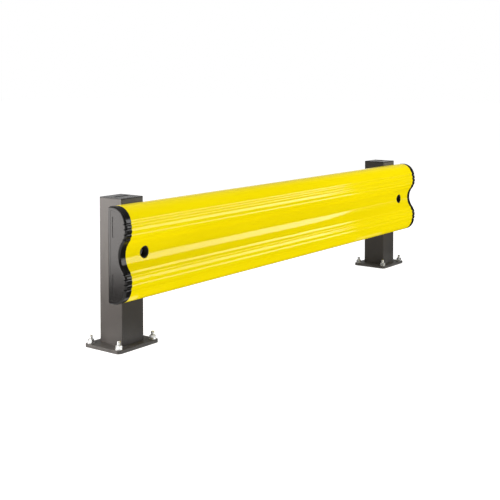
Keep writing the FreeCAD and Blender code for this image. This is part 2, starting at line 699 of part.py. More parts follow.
def make_rail_fixing(post, side):
    """Cup, bolt, washer and nut that clamp the beam's back wall to the post's front wall."""
    x = f"{side} * post_spacing / 2"
    turn = (Vector(1, 0, 0), 90)
    cup = make_cup("bolt_cup_" + post)
    place(cup, x, f"{RAIL_BACK} - rail_wall", RAIL_MIDDLE, turn)
    bolt = make_rail_bolt("rail_bolt_" + post)
    place(bolt, x, f"{RAIL_BACK} - {BOLT_SEAT}", RAIL_MIDDLE, turn)
    washer = make_washer(
        "rail_washer_" + post, "rail_washer_size", "rail_bolt_size + 2 * washer_play", "rail_washer_thickness"
    )
    place(washer, x, f"{RAIL_BACK} - rail_wall - cup_floor", RAIL_MIDDLE, turn)
    nut = make_nut("rail_nut_" + post, "rail_bolt_flats", "rail_nut_height", "rail_bolt_size")
    place(nut, x, f"{RAIL_BACK} + post_wall + rail_nut_height", RAIL_MIDDLE, turn)
    return [cup, bolt, washer, nut]


sheet = make_sheet()
pieces = [make_beam(), make_end_cap("end_cap_left", -1), make_end_cap("end_cap_right", 1)]
for post, side in (("left", -1), ("right", 1)):
    pieces.append(make_plate("base_plate_" + post, side))
    pieces.append(make_post("post_tube_" + post, side))
    pieces.append(make_post_cap("post_cap_" + post, side))
    pieces += make_rail_fixing(post, side)
    pieces += make_anchors(post, side)
doc.recompute()

for item in doc.Objects:
    if "Invalid" in item.State or "Error" in item.State:
        raise RuntimeError(f"{item.Label}: {item.State}")
for piece in pieces:
    shape = piece.Shape
    if shape.isNull() or not shape.isValid() or len(shape.Solids) != 1:
        raise RuntimeError(f"{piece.Label}: not one valid solid")

os.makedirs(NODES, exist_ok=True)
for piece in pieces:
    piece.Shape.exportStep(f"{NODES}/{piece.Label}.step")
    box = piece.Shape.BoundBox
    print(piece.Label, [round(v, 2) for v in (box.XMin, box.YMin, box.ZMin, box.XMax, box.YMax, box.ZMax)])
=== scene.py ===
# %% [markdown]
# # A floor-mounted guard rail
# A yellow double-wave beam with long ribs, two dark end caps, two square posts on bolted base
# plates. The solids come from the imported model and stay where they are. This script gives them
# their finishes, and makes the details that a solid model leaves plain, such as the threads of
# the floor anchors.

# %% Load the frame
import math
import bmesh
import bpy
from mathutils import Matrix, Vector


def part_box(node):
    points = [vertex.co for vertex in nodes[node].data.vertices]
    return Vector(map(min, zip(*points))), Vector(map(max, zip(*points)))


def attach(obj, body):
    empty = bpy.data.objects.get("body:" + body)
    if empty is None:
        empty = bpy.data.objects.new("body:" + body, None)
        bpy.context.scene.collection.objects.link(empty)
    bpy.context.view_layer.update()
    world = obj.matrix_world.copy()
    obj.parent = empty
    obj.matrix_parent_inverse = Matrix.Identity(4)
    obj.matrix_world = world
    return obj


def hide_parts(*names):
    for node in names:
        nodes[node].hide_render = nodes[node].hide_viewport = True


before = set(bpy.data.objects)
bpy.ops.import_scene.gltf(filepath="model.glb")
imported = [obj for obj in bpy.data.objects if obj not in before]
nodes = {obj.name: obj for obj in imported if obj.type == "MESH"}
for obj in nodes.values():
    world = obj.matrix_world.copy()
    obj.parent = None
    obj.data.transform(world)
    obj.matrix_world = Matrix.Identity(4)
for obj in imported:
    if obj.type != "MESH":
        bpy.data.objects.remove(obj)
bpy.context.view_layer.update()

# %% [markdown]
# The photograph is taken from the left of the front, from a little above the rail, with a long
# lens. The posts' edges stay nearly parallel in it, as with a shift lens, so the camera is tipped
# down only two degrees and the lens is shifted for the rest. The place, turn and lens were fitted
# to the edges of the posts, the base plates and the beam.

# %% Camera
camera_data = bpy.data.cameras.new("camera")
camera = bpy.data.objects.new("camera", camera_data)
bpy.context.scene.collection.objects.link(camera)
camera.location = (-3.07476, -2.16352, 0.8630)
turn, tip = 0.92724, math.radians(2.0)
camera.rotation_euler = (math.pi / 2 - tip, 0.0, -turn)
camera_data.sensor_width = 36.0
camera_data.lens = 68.643
camera_data.shift_y = -0.27305
camera_data.dof.use_dof = False
camera_data.clip_end = 60.0
bpy.context.scene.camera = camera
print("camera:", tuple(camera.location), "lens", camera_data.lens)

# %% [markdown]
# The room's glow, the finishes and the repeated shapes are all made of small node trees, so the
# first helper is a tree that adds nodes, links them or sets plain values, does sums and maps
# ranges.

# %% Helper for node trees
class Tree:
    """A node tree with short ways to add and join nodes."""

    def __init__(self, tree):
        self.tree = tree

    def add(self, kind, **values):
        """New node with these properties."""
        node = self.tree.nodes.new(kind)
        for name, value in values.items():
            setattr(node, name, value)
        return node

    def link(self, source, target):
        """Join two sockets."""
        self.tree.links.new(source, target)

    def put(self, source, target):
        """Link a socket, or set a plain value."""
        if isinstance(source, bpy.types.NodeSocket):
            self.link(source, target)
        else:
            target.default_value = source

    def math(self, operation, a, b=0.0, c=0.0, clamp=False):
        """Sum of sockets or plain values."""
        node = self.add("ShaderNodeMath", operation=operation, use_clamp=clamp)
        for value, socket in zip((a, b, c), node.inputs):
            self.put(value, socket)
        return node.outputs[0]

    def dot(self, first, second):
        """Dot product of two vectors."""
        node = self.add("ShaderNodeVectorMath", operation="DOT_PRODUCT")
        self.put(first, node.inputs[0])
        self.put(second, node.inputs[1])
        return node.outputs["Value"]

    def split(self, vector, axis):
        """One part of a vector."""
        node = self.add("ShaderNodeSeparateXYZ")
        self.link(vector, node.inputs[0])
        return node.outputs[axis]

    def span(self, source, low, high, to_low=0.0, to_high=1.0):
        """Map a range smoothly to another one, held at its ends."""
        node = self.add("ShaderNodeMapRange", interpolation_type="SMOOTHSTEP")
        self.put(source, node.inputs["Value"])
        ends = {"From Min": low, "From Max": high, "To Min": to_low, "To Max": to_high}
        for name, value in ends.items():
            node.inputs[name].default_value = value
        return node.outputs["Result"]


print("helper:", Tree.__name__)

# %% [markdown]
# The rail stands on a lit white floor, as on a photographer's light table, in a white studio.
# Gloss shows what it mirrors, so a wholly white room would wash out the yellow and the black.
# Here the white of the floor and of the room only lights the parts and fills the picture: gloss
# mirrors dark cloths on the floor, one grey cloth under the right plate, and a dim room with one
# pale wall behind the rail. The standard view keeps the yellow as strong as it is on the real
# polymer.

# %% Floor and room
scene = bpy.context.scene
scene.view_settings.view_transform = "Standard"
scene.view_settings.look = "None"


def plain_mesh(name, points, faces):
    """Mesh object at the origin, from points and faces."""
    mesh = bpy.data.meshes.new(name)
    mesh.from_pydata(points, [], faces)
    mesh.update()
    thing = bpy.data.objects.new(name, mesh)
    scene.collection.objects.link(thing)
    return thing


def plain_paint(name, tone, brightness):
    """Matt grey finish that also glows white."""
    paint = bpy.data.materials.new(name)
    paint.use_nodes = True
    shader = paint.node_tree.nodes["Principled BSDF"]
    shader.inputs["Base Color"].default_value = (tone, tone, tone, 1)
    shader.inputs["Roughness"].default_value = 1.0
    shader.inputs["Specular IOR Level"].default_value = 0.0
    shader.inputs["Emission Color"].default_value = (1.0, 1.0, 1.0, 1)
    shader.inputs["Emission Strength"].default_value = brightness
    return paint


def sheet(name, low, high, height, paint):
    """Level rectangle between two corners."""
    corners = [(low[0], low[1]), (high[0], low[1]), (high[0], high[1]), (low[0], high[1])]
    made = plain_mesh(name, [(x, y, height) for x, y in corners], [(0, 1, 2, 3)])
    made.data.materials.append(paint)
    return made


def cloth(name, low, high, height=0.004, brightness=0.0):
    """Cloth just over the floor that only gloss sees, so that the colours stay deep."""
    card = sheet(name, low, high, height, plain_paint(name, 0.01, brightness))
    card.visible_camera = card.visible_diffuse = card.visible_shadow = False


REACH = 30.0  # half the floor's width
AHEAD = (0.8, 0.6, 0.0)  # the way the camera looks, which is where the pale wall stands
floor_paint = plain_paint("floor_paint", 0.35, 0.94)
floor = sheet("floor", (-REACH, -REACH), (REACH, REACH), 0.0, floor_paint)
cloth("front_cloth", (-0.80, -3.5), (7.0, -0.12))
cloth("back_cloth", (-3.2, 0.14), (7.0, 2.2))
cloth("middle_cloth", (-0.72, -0.12), (7.0, 0.14))
cloth("grey_cloth", (0.74, -0.12), (0.98, 0.14), height=0.005, brightness=0.35)

world = bpy.data.worlds.new("studio")
scene.world = world
world.use_nodes = True
room = Tree(world.node_tree)
background = room.tree.nodes["Background"]
direction = room.add("ShaderNodeTexCoord").outputs["Generated"]
upward = room.split(direction, "Z")
wall = room.span(room.dot(direction, AHEAD), 0.55, 0.9, 0.10, 1.0)
low_down = room.span(upward, 0.08, 0.24, 1.0, 0.25)
ceiling = room.span(upward, 0.55, 0.95, 0.0, 0.5)
glow = room.math("MULTIPLY_ADD", wall, low_down, ceiling)
to_camera = room.add("ShaderNodeLightPath").outputs["Is Camera Ray"]
room.put((1.0, 1.0, 1.0, 1), background.inputs["Color"])
room.put(room.math("MAXIMUM", glow, to_camera), background.inputs["Strength"])
print("room:", len(room.tree.nodes), "nodes")

# %% [markdown]
# Each light either shines on the parts or is only mirrored by them, so tone and gloss are set
# apart. The left softbox is mirrored by the faces of the left end, and a small warm fill lights
# them. It is kept off the right post, whose side stays darker than its front in the photograph.
# The right softbox is mirrored as a pale line by everything that slopes 6 to 22 degrees upwards,
# which is one band in the valley and one thin line on each rib. Two wide lights in front and
# above fill in.

# %% Lights
WHITE, WARM = (1.0, 1.0, 1.0), (1.0, 0.955, 0.93)


def softbox(name, place, aim, size, power, mirrored=True, fills=True, tint=WHITE):
    """Rectangular studio light that the camera doesn't see."""
    data = bpy.data.lights.new(name, "AREA")
    data.shape = "RECTANGLE"
    data.size, data.size_y = size
    data.energy = power
    data.color = tint
    light = bpy.data.objects.new(name, data)
    scene.collection.objects.link(light)
    light.location = place
    light.rotation_euler = (Vector(aim) - Vector(place)).to_track_quat("-Z", "Y").to_euler()
    light.visible_camera = False
    light.visible_glossy = mirrored
    light.visible_diffuse = fills
    return light


left_light = softbox(
    "left_softbox", (-1.87, 0.64, 0.57), (-0.95, 0.0, 0.40), (1.2, 1.3), 33, fills=False, tint=WARM)
softbox(
    "left_fill", (-1.5, 0.3, 0.45), (-0.95, 0.05, 0.30), (0.6, 0.8), 12, mirrored=False, tint=WARM)
softbox("right_softbox", (2.95, -2.6, 1.0), (2.95, 0.0, 1.0), (3.1, 1.53), 100, fills=False)
softbox("front_fill", (2.4, -4.2, 1.7), (0.5, 0.0, 0.35), (4.4, 3.0), 100, mirrored=False)
softbox("top_fill", (0.6, -0.5, 3.0), (0.4, 0.0, 0.3), (4.0, 3.0), 74, mirrored=False)
spared = bpy.data.collections.new("spared_by_left_softbox")
for name in ("post_tube_right", "base_plate_right", "post_cap_right"):
    spared.objects.link(nodes[name])
for entry in spared.collection_objects:
    entry.light_linking.link_state = "EXCLUDE"
left_light.light_linking.receiver_collection = spared

# %% [markdown]
# The finishes share a few steps: a tone that drifts over the surface, a grain that only bends the
# light, and a mask of worn edges. The mask compares the true normal with one that is rounded off
# near edges, which works on any mesh, also on loose triangles.

# %% Helper for finishes
MOST = (0.3, 0.7)  # the span that holds most values of a noise


class Finish(Tree):
    """One material with its node tree."""

    def __init__(self, name, metallic=0.0, ior=1.5):
        self.material = bpy.data.materials.new(name)
        self.material.use_nodes = True
        super().__init__(self.material.node_tree)
        self.shader = self.tree.nodes["Principled BSDF"]
        self.shader.inputs["Metallic"].default_value = metallic
        self.shader.inputs["IOR"].default_value = ior
        self.where = self.tree.nodes.new("ShaderNodeTexCoord").outputs["Object"]

    def noise(self, scale, detail=3.0, roughness=0.5, stretch=(1, 1, 1), distortion=0.0):
        """Noise on the piece's own coordinates, per metre, stretched by axis."""
        mapping = self.add("ShaderNodeMapping")
        mapping.inputs["Scale"].default_value = stretch
        self.link(self.where, mapping.inputs["Vector"])
        node = self.add("ShaderNodeTexNoise")
        node.inputs["Scale"].default_value = scale
        node.inputs["Detail"].default_value = detail
        node.inputs["Roughness"].default_value = roughness
        node.inputs["Distortion"].default_value = distortion
        self.link(mapping.outputs["Vector"], node.inputs["Vector"])
        return node.outputs["Fac"]

    def blend(self, share, first, second):
        """Mix two colours by a share."""
        node = self.add("ShaderNodeMix", data_type="RGBA", blend_type="MIX")
        self.put(share, node.inputs[0])
        for value, socket in ((first, node.inputs[6]), (second, node.inputs[7])):
            if isinstance(value, bpy.types.NodeSocket):
                self.link(value, socket)
            else:
                socket.default_value = (*value, 1.0)
        return node.outputs[2]

    def edges(self, radius, low, high):
        """1 near the edges of a piece, 0 on its flats."""
        soft = self.add("ShaderNodeBevel", samples=4)
        soft.inputs["Radius"].default_value = radius
        true = self.add("ShaderNodeNewGeometry")
        return self.span(self.dot(soft.outputs["Normal"], true.outputs["Normal"]), high, low)

    def height(self):
        """Height above the floor."""
        return self.split(self.where, "Z")

    def bumps(self, *layers, soften=0.0):
        """Stack bumps on softened edges: each layer is a height, its strength and its depth."""
        normal = None
        if soften:
            lip = self.add("ShaderNodeBevel", samples=6)
            lip.inputs["Radius"].default_value = soften
            normal = lip.outputs["Normal"]
        for height, strength, depth in layers:
            node = self.add("ShaderNodeBump")
            node.inputs["Strength"].default_value = strength
            node.inputs["Distance"].default_value = depth
            self.put(height, node.inputs["Height"])
            if normal is not None:
                self.link(normal, node.inputs["Normal"])
            normal = node.outputs["Normal"]
        self.link(normal, self.shader.inputs["Normal"])

    def colour(self, source):
        """Colour of the surface."""
        self.link(source, self.shader.inputs["Base Color"])

    def rough(self, source):
        """Roughness of the surface, from 0 for a mirror to 1 for chalk."""
        self.link(source, self.shader.inputs["Roughness"])


def named(*starts):
    """Names of the CAD nodes that start so."""
    return [name for name in nodes if name.startswith(starts)]


def dress(material, *names):
    """Give a finish to CAD nodes."""
    for name in names:
        mesh = nodes[name].data
        mesh.materials.clear()
        mesh.materials.append(material)
    print("finish:", material.name, "on", len(names), "nodes")


# %% [markdown]
# The beam is extruded in one solid yellow polymer. Extrusion leaves faint straight lines along
# the beam, and the surface between them is satin with a fine ripple. Handling dulls it in long,
# loose scuffs, and the sharp ends turn a little paler. All of this is drawn out along X, as the
# die leaves it.

# %% Yellow polymer of the beam
yellow = Finish("rail_yellow", ior=1.49)
drift = yellow.noise(3.0, detail=3.0, stretch=(0.35, 1, 1))
lines = yellow.noise(900.0, detail=2.0, stretch=(0.0015, 1, 1))
ripple = yellow.noise(160.0, detail=2.0, stretch=(0.2, 1, 1))
rubs = yellow.noise(30.0, detail=6.0, roughness=0.62, stretch=(0.08, 1, 1), distortion=0.4)
scuffs = yellow.span(rubs, 0.58, 0.74)
worn = yellow.edges(0.0016, 0.80, 0.995)
base = yellow.blend(yellow.span(drift, *MOST), (0.835, 0.665, 0.0010), (0.885, 0.71, 0.0015))
base = yellow.blend(yellow.math("MULTIPLY", scuffs, 0.10), base, (0.90, 0.73, 0.03))
base = yellow.blend(yellow.math("MULTIPLY", worn, 0.22), base, (0.93, 0.78, 0.07))
yellow.colour(base)
yellow.rough(yellow.math("MULTIPLY_ADD", scuffs, 0.06, yellow.span(lines, *MOST, 0.035, 0.06)))
yellow.bumps((lines, 0.06, 0.00002), (ripple, 0.03, 0.0001), soften=0.0006)
yellow.shader.inputs["Specular IOR Level"].default_value = 0.17
dress(yellow.material, "rail_beam")

# %% [markdown]
# The end caps, the cups round the rail bolts and the post caps are moulded in dark polymer. A
# mould with a fine grain makes it matt, the raised grain shines where hands and boots rub it, and
# dust stays in it as a faint grey.

# %% Dark moulded polymer
def moulded(name, dark, dusty, low_rough, high_rough):
    """Dark polymer with a mould's grain, rubbed edges and a little dust."""
    finish = Finish(name, ior=1.5)
    finish.shader.inputs["Specular IOR Level"].default_value = 0.25
    cloud = finish.noise(9.0, detail=5.0, roughness=0.6)
    grain = finish.noise(1500.0, detail=3.0, roughness=0.6)
    coarse = finish.noise(380.0, detail=2.0)
    worn = finish.edges(0.0012, 0.82, 0.995)
    rubbed = finish.math("MULTIPLY", worn, finish.span(finish.noise(60.0, detail=4.0), 0.35, 0.65))
    tone = finish.blend(finish.span(cloud, 0.35, 0.72), dark, dusty)
    pale = tuple(value * 3.2 + 0.03 for value in dark)
    tone = finish.blend(finish.math("MULTIPLY", rubbed, 0.5), tone, pale)
    finish.colour(tone)
    matt = finish.span(coarse, *MOST, low_rough, high_rough)
    finish.rough(finish.math("MULTIPLY_ADD", rubbed, -0.12, matt))
    finish.bumps((grain, 0.35, 0.00018), (coarse, 0.15, 0.0003), soften=0.0006)
    return finish


cap_black = moulded("cap_black", (0.0062, 0.0058, 0.0056), (0.0105, 0.0099, 0.0096), 0.14, 0.21)
dress(cap_black.material, "end_cap_left", "end_cap_right")
cup_black = moulded("cup_black", (0.022, 0.0205, 0.0195), (0.030, 0.028, 0.027), 0.38, 0.48)
dress(cup_black.material, "bolt_cup_left", "bolt_cup_right")
cap_grey = moulded("post_cap_grey", (0.013, 0.0125, 0.012), (0.022, 0.021, 0.020), 0.22, 0.32)
dress(cap_grey.material, "post_cap_left", "post_cap_right")

# %% [markdown]
# Posts and base plates are steel with a dark grey powder coat. The powder melts into a fine
# orange peel, a shade browner where it is thick. Boots and trucks leave it duller near the floor,
# and the edges, where the coat is thin, go lighter. Small chips show there first.

# %% Powder coat of posts and plates
coat = Finish("post_coat", ior=1.5)
cloud = coat.noise(5.0, detail=5.0, roughness=0.55)
peel = coat.noise(420.0, detail=2.0, roughness=0.45)
fine = coat.noise(1900.0, detail=2.0)
worn = coat.edges(0.0012, 0.80, 0.995)
flakes = coat.span(coat.noise(85.0, detail=5.0, roughness=0.7), 0.56, 0.64)
chips = coat.math("MULTIPLY", worn, flakes)
smears = coat.span(coat.noise(22.0, detail=5.0), 0.35, 0.7)
dust = coat.math("MULTIPLY", coat.span(coat.height(), 0.09, 0.0), smears)
tone = coat.blend(coat.span(cloud, *MOST), (0.042, 0.0381, 0.0352), (0.052, 0.0475, 0.0436))
tone = coat.blend(coat.math("MULTIPLY", dust, 0.18), tone, (0.15, 0.145, 0.135))
tone = coat.blend(coat.math("MULTIPLY", worn, 0.35), tone, (0.17, 0.16, 0.15))
tone = coat.blend(coat.math("MULTIPLY", chips, 0.6), tone, (0.32, 0.31, 0.30))
coat.colour(tone)
coat.rough(coat.math("MULTIPLY_ADD", dust, 0.2, coat.span(peel, *MOST, 0.33, 0.40)))
coat.shader.inputs["Specular IOR Level"].default_value = 0.30
coat.bumps((peel, 0.30, 0.0004), (fine, 0.2, 0.0001), soften=0.0008)
dress(coat.material, *named("base_plate_", "post_tube_"))

# %% [markdown]
# Anchors, nuts, washers and rail bolts are bright zinc plated. The plating is nearly white with a
# cold cast, brushed a little by the tools, and clouded where it has been handled. The rail bolts
# were rolled and galvanised in bulk, so they are duller and scatter the little light that falls
# into their cups.

# %% Bright zinc plate
def zinc_plated(name, metallic, low_rough, high_rough):
    """Zinc plate with a tool's brushing, clouds of handling and bare edges."""
    finish = Finish(name, metallic=metallic)
    cloud = finish.noise(120.0, detail=4.0, roughness=0.6)
    brush = finish.noise(1400.0, detail=2.0, stretch=(1, 1, 0.08))
    worn = finish.edges(0.0005, 0.80, 0.995)
    tone = finish.blend(finish.span(cloud, *MOST), (0.68, 0.69, 0.70), (0.86, 0.86, 0.84))
    stain = finish.span(finish.noise(70.0, detail=3.0), 0.62, 0.75, 0.0, 0.35)
    tone = finish.blend(stain, tone, (0.62, 0.57, 0.46))
    tone = finish.blend(finish.math("MULTIPLY", worn, 0.5), tone, (0.93, 0.93, 0.93))
    finish.colour(tone)
    matt = finish.span(cloud, *MOST, low_rough, high_rough)
    finish.rough(finish.math("MULTIPLY_ADD", brush, 0.08, matt))
    finish.bumps((brush, 0.15, 0.00008), (cloud, 0.1, 0.0002))
    return finish


zinc = zinc_plated("zinc", 0.72, 0.14, 0.24)
dress(zinc.material, *named("anchor_"))
dull_zinc = zinc_plated("dull_zinc", 1.0, 0.45, 0.56)
dress(dull_zinc.material, *named("rail_bolt_", "rail_nut_", "rail_washer_"))

# %% [markdown]
# The die of the beam's extrusion has no sharp corner: ribs and grooves flow into each other as
# one soft wave, and that is why each rib mirrors a thin clean line. The solid has plain round
# grooves, so the beam is drawn again here from the same arcs, with the wave laid on both crests.
# It is a closed tube like the solid, with its two inner webs, its access holes in the valley and
# its bolt holes in the back. RIBS holds the heights above the crest's middle of each rib and of
# the groove between two, and how deep the surface is sunk there. Past the last rib the surface
# drops away a little, as the shoulder does.

# %% Section of the beam
low_beam, high_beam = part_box("rail_beam")
HALF = (high_beam[2] - low_beam[2]) / 2
DEPTH = high_beam[1] - low_beam[1]
BACK, MIDDLE = high_beam[1], (high_beam[2] + low_beam[2]) / 2
CREST = HALF - 0.0755  # height of a crest above mid-height
WAVE = 0.029  # how far the valley lies behind the crests
INNER, OUTER = 0.054, 0.120  # radii of a crest towards the valley and towards the edge
SHOULDER, CORNER = 0.055, 0.009  # radii of the edge and of the back's corner
LEAST_CORNER = 0.002  # radius that the back's corner keeps inside the wall
FRONT = -DEPTH / 3  # the ribs lie on what stands further forward than this
WALL, WEB = 0.007, 0.005  # thickness of the wall and of the inner webs
FINE, COARSE = 0.0007, 0.003  # length of a step along the outer and the hollow outline
RIBS = [
    (-0.0320, 0.0), (-0.0245, 0.0021), (-0.0160, 0.0), (-0.0089, 0.00184),
    (0.0, 0.0), (0.0089, 0.00184), (0.0160, 0.0), (0.0257, 0.0021),
    (0.0340, 0.0002), (0.0420, 0.0014), (0.0480, 0.0014), (0.0720, 0.0),
]


def swing(centre, radius, start, end, step, hollow=False):
    """Points with outward normals along an arc in the section's plane (wave to back, up)."""
    count = max(2, round(abs(end - start) * radius / step))
    points = []
    for index in range(count + 1):
        angle = start + (end - start) * index / count
        way = Vector((math.cos(angle), math.sin(angle)))
        points.append((Vector(centre) + way * radius, -way if hollow else way))
    return points


def beam_section(inset, step):
    """Upper half of the double wave from the back's corner to mid-height, with normals."""
    valley = (CREST ** 2 + WAVE ** 2) / (2 * WAVE) - INNER
    rise = HALF - SHOULDER
    reach = math.sqrt((OUTER - SHOULDER) ** 2 - (rise - CREST) ** 2)
    outer_x = OUTER - DEPTH
    lean = math.atan2(rise - CREST, -reach)
    turn_in = math.asin(CREST / (INNER + valley))
    corner = max(CORNER - inset, LEAST_CORNER)
    points = swing((-inset - corner, HALF - inset - corner), corner, 0, math.pi / 2, step)
    points += swing((outer_x - reach, rise), SHOULDER - inset, math.pi / 2, lean, step)
    points += swing((outer_x, CREST), OUTER - inset, lean, math.pi, step)[1:]
    points += swing((INNER - DEPTH, CREST), INNER - inset, math.pi, math.pi + turn_in, step)[1:]
    points += swing((WAVE - DEPTH - valley, 0), valley + inset, turn_in, 0, step, hollow=True)[1:]
    return points


def laid_in_ribs(points):
    """Sink the points as RIBS says, in soft waves from one height above the crest to the next."""
    made = []
    for point, normal in points:
        away = point[1] - CREST
        sink = 0.0
        for (start, first), (end, last) in zip(RIBS, RIBS[1:]):
            if start < away <= end and point[0] < FRONT:
                share = (1 - math.cos(math.pi * (away - start) / (end - start))) / 2
                sink = first + (last - first) * share
        made.append(point - normal * sink)
    return made


def mirrored(half):
    """Full outline from its upper half."""
    return half + [Vector((p[0], -p[1])) for p in reversed(half[:-1])]


def band(outline, low, high):
    """Part of an outline between two heights."""
    for level, keep_above in ((low, True), (high, False)):
        kept = []
        for index, point in enumerate(outline):
            before = outline[index - 1]
            inside = (point[1] > level) == keep_above
            if inside != ((before[1] > level) == keep_above):
                share = (level - before[1]) / (point[1] - before[1])
                kept.append(before + (point - before) * share)
            if inside:
                kept.append(point)
        outline = kept
    return outline


beam_outline = mirrored(laid_in_ribs(beam_section(0.0, FINE)))
hollow_outline = mirrored([point for point, normal in beam_section(WALL, COARSE)])
print("outline points:", len(beam_outline), "hollow:", len(hollow_outline))

# %% [markdown]
# The section is drawn out to the beam's length. Then the three hollow cells between the webs, the
# two large holes for the socket and the two bolt holes are cut out of it, as the saw and the
# drill do.

# %% Ribbed beam
CUP_FIT = 0.0003  # space round a bolt cup in its access hole
POCKET = 0.012  # how far behind the wall the access cutter stops and the bolt cutter starts
BOLT_RADIUS = 0.00875  # of the holes in the back wall
WEB_GAP = 0.015  # from an access hole's edge to the webs
OVERSHOOT = 0.01  # how far a cutter stands out of the beam
SHARP = 0.6  # angle in radians from which an edge stays sharp
SEAM = 0.000002  # points closer than this are joined after the cuts


def closed_tube(name, first, second):
    """Closed mesh object between two outlines with as many points, faces turned outwards."""
    count = len(first)
    faces = [tuple(range(count)), tuple(reversed(range(count, 2 * count)))]
    for index in range(count):
        after = (index + 1) % count
        faces.append((index, index + count, after + count, after))
    thing = plain_mesh(name, first + second, faces)
    shape = bmesh.new()
    shape.from_mesh(thing.data)
    bmesh.ops.recalc_face_normals(shape, faces=shape.faces)
    shape.to_mesh(thing.data)
    shape.free()
    return thing


def prism(name, outline, start, end):
    """An outline in the section's plane, drawn out along X."""
    first, second = ([(x, BACK + p[0], MIDDLE + p[1]) for p in outline] for x in (start, end))
    return closed_tube(name, first, second)


def drum(name, x, z, radius, start, end, sides=96):
    """Round cutter along Y."""
    ring = []
    for index in range(sides):
        angle = 2 * math.pi * index / sides
        ring.append((x + radius * math.cos(angle), z + radius * math.sin(angle)))
    first, second = ([(p[0], y, p[1]) for p in ring] for y in (start, end))
    return closed_tube(name, first, second)


def carve(name, block, tools, material):
    """New object: the block less the tools, smooth apart from sharp edges."""
    for tool in tools:
        modifier = block.modifiers.new("cut", "BOOLEAN")
        modifier.operation, modifier.solver, modifier.object = "DIFFERENCE", "EXACT", tool
    graph = bpy.context.evaluated_depsgraph_get()
    mesh = bpy.data.meshes.new_from_object(block.evaluated_get(graph), depsgraph=graph)
    for thing in [block, *tools]:
        bpy.data.objects.remove(thing)
    mesh.name = name
    shape = bmesh.new()
    shape.from_mesh(mesh)
    bmesh.ops.remove_doubles(shape, verts=shape.verts, dist=SEAM)
    for face in shape.faces:
        face.smooth = True
    for edge in shape.edges:
        edge.smooth = edge.is_manifold and edge.calc_face_angle(0.0) < SHARP
    open_edges = sum(not edge.is_manifold for edge in shape.edges)
    shape.to_mesh(mesh)
    shape.free()
    mesh.materials.clear()
    mesh.materials.append(material)
    piece = bpy.data.objects.new(name, mesh)
    scene.collection.objects.link(piece)
    print(name, "faces:", len(mesh.polygons), "open edges:", open_edges)
    return piece


beam_start, beam_end = low_beam[0], high_beam[0]
cutters = []
for side in ("left", "right"):
    low_cup, high_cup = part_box("bolt_cup_" + side)
    x, z = (low_cup[0] + high_cup[0]) / 2, (low_cup[2] + high_cup[2]) / 2
    hole = (high_cup[0] - low_cup[0]) / 2 + CUP_FIT
    inside = BACK - WALL - POCKET
    cutters.append(drum("access_cut", x, z, hole, BACK - DEPTH - OVERSHOOT, inside))
    cutters.append(drum("bolt_cut", x, z, BOLT_RADIUS, inside, BACK + OVERSHOOT))
web_start = hole + WEB_GAP
web_end = web_start + WEB
for low_z, high_z in ((-HALF, -web_end), (-web_start, web_start), (web_end, HALF)):
    cell = band(hollow_outline, low_z, high_z)
    cutters.append(prism("cell_cut", cell, beam_start - OVERSHOOT, beam_end + OVERSHOOT))
block = prism("beam_block", beam_outline, beam_start, beam_end)
ribbed_beam = carve("ribbed_beam", block, cutters, yellow.material)
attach(ribbed_beam, "root")
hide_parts("rail_beam")

# %% [markdown]
# The floor anchors are threaded rod. The solids have plain studs, so the threads are made here,
# all eight by one tree of geometry nodes: a flat grid is rolled into a rod, row by row. The first
# rows close the rod's foot and make its plain core inside the nut, the next ones follow the
# helix, and the last ones taper to the chamfered point and close it. The same rod stands on every
# corner of both base plates, each turned by a chance angle, because no two anchors stop at the
# same place of the thread.

# %% Threads of the floor anchors
stud_names = sorted(name for name in nodes if name.startswith("anchor_stud_"))
boxes = {name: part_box(name) for name in stud_names}
low_stud, high_stud = boxes[stud_names[0]]
_, high_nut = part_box(stud_names[0].replace("stud", "nut"))
middles = {name: ((a[0] + b[0]) / 2, (a[1] + b[1]) / 2) for name, (a, b) in boxes.items()}
left_row = sorted({round(x, 5) for name, (x, y) in middles.items() if "_left_" in name})
right_row = sorted({round(x, 5) for name, (x, y) in middles.items() if "_right_" in name})
rows_y = sorted({round(y, 5) for x, y in middles.values()})
RADIUS = (high_stud[0] - low_stud[0]) / 2
FLAT = 0.12  # share of a thread's flank that is flat at the root, and again at the crest
WELD = 0.000004  # points that are closer become one, at the seam, the foot and the tip
FIRST = 3  # the row at which the thread starts, after the foot's two and the core's one
SETTINGS = [
    ("Radius", "Float", RADIUS),
    ("Thread depth", "Float", 0.00095),
    ("Thread pitch", "Float", 0.00175),
    ("Core radius", "Float", RADIUS - 0.00055),
    ("Core length", "Float", high_nut[2]),
    ("Free length", "Float", high_stud[2] - high_nut[2]),
    ("Chamfer", "Float", 0.0015),
    ("Around", "Int", 33),
    ("Rows", "Int", 66),
    ("Post spacing", "Float", sum(right_row) / 2 - sum(left_row) / 2),
    ("Anchor spacing X", "Float", left_row[1] - left_row[0]),
    ("Anchor spacing Y", "Float", rows_y[1] - rows_y[0]),
    ("Middle Y", "Float", sum(rows_y) / 2),
    ("Seed", "Int", 4),
]


